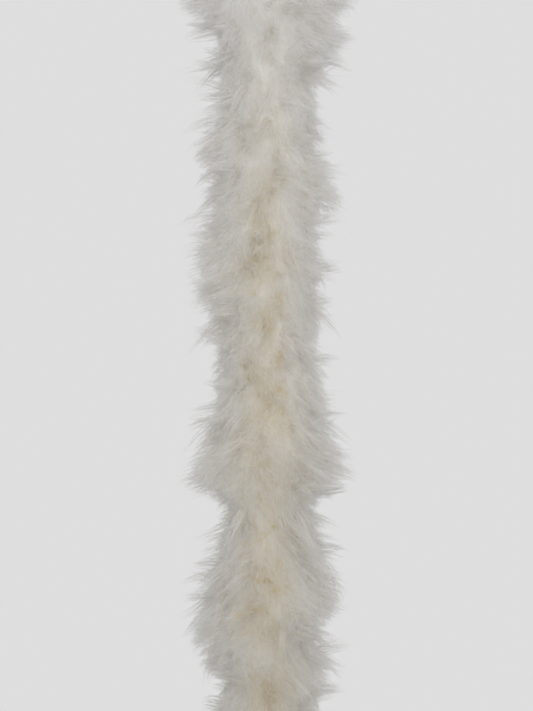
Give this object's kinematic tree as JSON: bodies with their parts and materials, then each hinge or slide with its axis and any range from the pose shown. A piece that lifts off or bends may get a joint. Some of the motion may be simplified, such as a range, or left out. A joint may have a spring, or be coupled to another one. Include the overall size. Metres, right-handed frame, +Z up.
{
  "type": "feather boa",
  "caption": "Long soft boa of white marabou plumes bound to a thin twisted cord, hanging from a small loop at its top end.",
  "frame": {"origin": "where a hook bears, inside the top of the hanging loop", "axes": "+Z up along the cord, the boa hanging down along -Z; the loop lies in the XZ plane"},
  "size_m": [0.112, 0.112, 1.8939],
  "materials": {
    "down": "soft matte marabou down, warm white",
    "quill": "satin horn, cream to ochre",
    "cord": "twisted cotton, off-white",
    "thread": "spun polyester, white"
  },
  "bodies": {
    "root": {"core_cord_01": "cord", "binding_thread_01": "thread", "plume_quills_01": "quill", "plume_down_01": "down", "hang_loop": "cord", "loop_whipping": "thread"},
    "link_02": {"core_cord_02": "cord", "binding_thread_02": "thread", "plume_quills_02": "quill", "plume_down_02": "down"},
    "link_03": {"core_cord_03": "cord", "binding_thread_03": "thread", "plume_quills_03": "quill", "plume_down_03": "down"},
    "link_04": {"core_cord_04": "cord", "binding_thread_04": "thread", "plume_quills_04": "quill", "plume_down_04": "down"},
    "link_05": {"core_cord_05": "cord", "binding_thread_05": "thread", "plume_quills_05": "quill", "plume_down_05": "down"},
    "link_06": {"core_cord_06": "cord", "binding_thread_06": "thread", "plume_quills_06": "quill", "plume_down_06": "down"},
    "link_07": {"core_cord_07": "cord", "binding_thread_07": "thread", "plume_quills_07": "quill", "plume_down_07": "down"},
    "link_08": {"core_cord_08": "cord", "binding_thread_08": "thread", "plume_quills_08": "quill", "plume_down_08": "down"},
    "link_09": {"core_cord_09": "cord", "binding_thread_09": "thread", "plume_quills_09": "quill", "plume_down_09": "down"},
    "link_10": {"core_cord_10": "cord", "binding_thread_10": "thread", "plume_quills_10": "quill", "plume_down_10": "down"},
    "link_11": {"core_cord_11": "cord", "binding_thread_11": "thread", "plume_quills_11": "quill", "plume_down_11": "down"},
    "link_12": {"core_cord_12": "cord", "binding_thread_12": "thread", "plume_quills_12": "quill", "plume_down_12": "down"},
    "link_13": {"core_cord_13": "cord", "binding_thread_13": "thread", "plume_quills_13": "quill", "plume_down_13": "down"},
    "link_14": {"core_cord_14": "cord", "binding_thread_14": "thread", "plume_quills_14": "quill", "plume_down_14": "down", "end_knot": "cord", "cord_tails": "cord"}
  },
  "joints": [
    {"name": "bend_01", "type": "hinge", "parent": "root", "child": "link_02", "pos_m": [0, 0, -0.168], "axis": [1, 0, 0], "range_deg": [-60, 60]},
    {"name": "bend_02", "type": "hinge", "parent": "link_02", "child": "link_03", "pos_m": [0, 0, -0.298], "axis": [0, 1, 0], "range_deg": [-60, 60]},
    {"name": "bend_03", "type": "hinge", "parent": "link_03", "child": "link_04", "pos_m": [0, 0, -0.428], "axis": [-1, 0, 0], "range_deg": [-60, 60]},
    {"name": "bend_04", "type": "hinge", "parent": "link_04", "child": "link_05", "pos_m": [0, 0, -0.558], "axis": [0, -1, 0], "range_deg": [-60, 60]},
    {"name": "bend_05", "type": "hinge", "parent": "link_05", "child": "link_06", "pos_m": [0, 0, -0.688], "axis": [1, 0, 0], "range_deg": [-60, 60]},
    {"name": "bend_06", "type": "hinge", "parent": "link_06", "child": "link_07", "pos_m": [0, 0, -0.818], "axis": [0, 1, 0], "range_deg": [-60, 60]},
    {"name": "bend_07", "type": "hinge", "parent": "link_07", "child": "link_08", "pos_m": [0, 0, -0.948], "axis": [-1, 0, 0], "range_deg": [-60, 60]},
    {"name": "bend_08", "type": "hinge", "parent": "link_08", "child": "link_09", "pos_m": [0, 0, -1.078], "axis": [0, -1, 0], "range_deg": [-60, 60]},
    {"name": "bend_09", "type": "hinge", "parent": "link_09", "child": "link_10", "pos_m": [0, 0, -1.208], "axis": [1, 0, 0], "range_deg": [-60, 60]},
    {"name": "bend_10", "type": "hinge", "parent": "link_10", "child": "link_11", "pos_m": [0, 0, -1.338], "axis": [0, 1, 0], "range_deg": [-60, 60]},
    {"name": "bend_11", "type": "hinge", "parent": "link_11", "child": "link_12", "pos_m": [0, 0, -1.468], "axis": [-1, 0, 0], "range_deg": [-60, 60]},
    {"name": "bend_12", "type": "hinge", "parent": "link_12", "child": "link_13", "pos_m": [0, 0, -1.598], "axis": [0, -1, 0], "range_deg": [-60, 60]},
    {"name": "bend_13", "type": "hinge", "parent": "link_13", "child": "link_14", "pos_m": [0, 0, -1.728], "axis": [1, 0, 0], "range_deg": [-60, 60]}
  ]
}
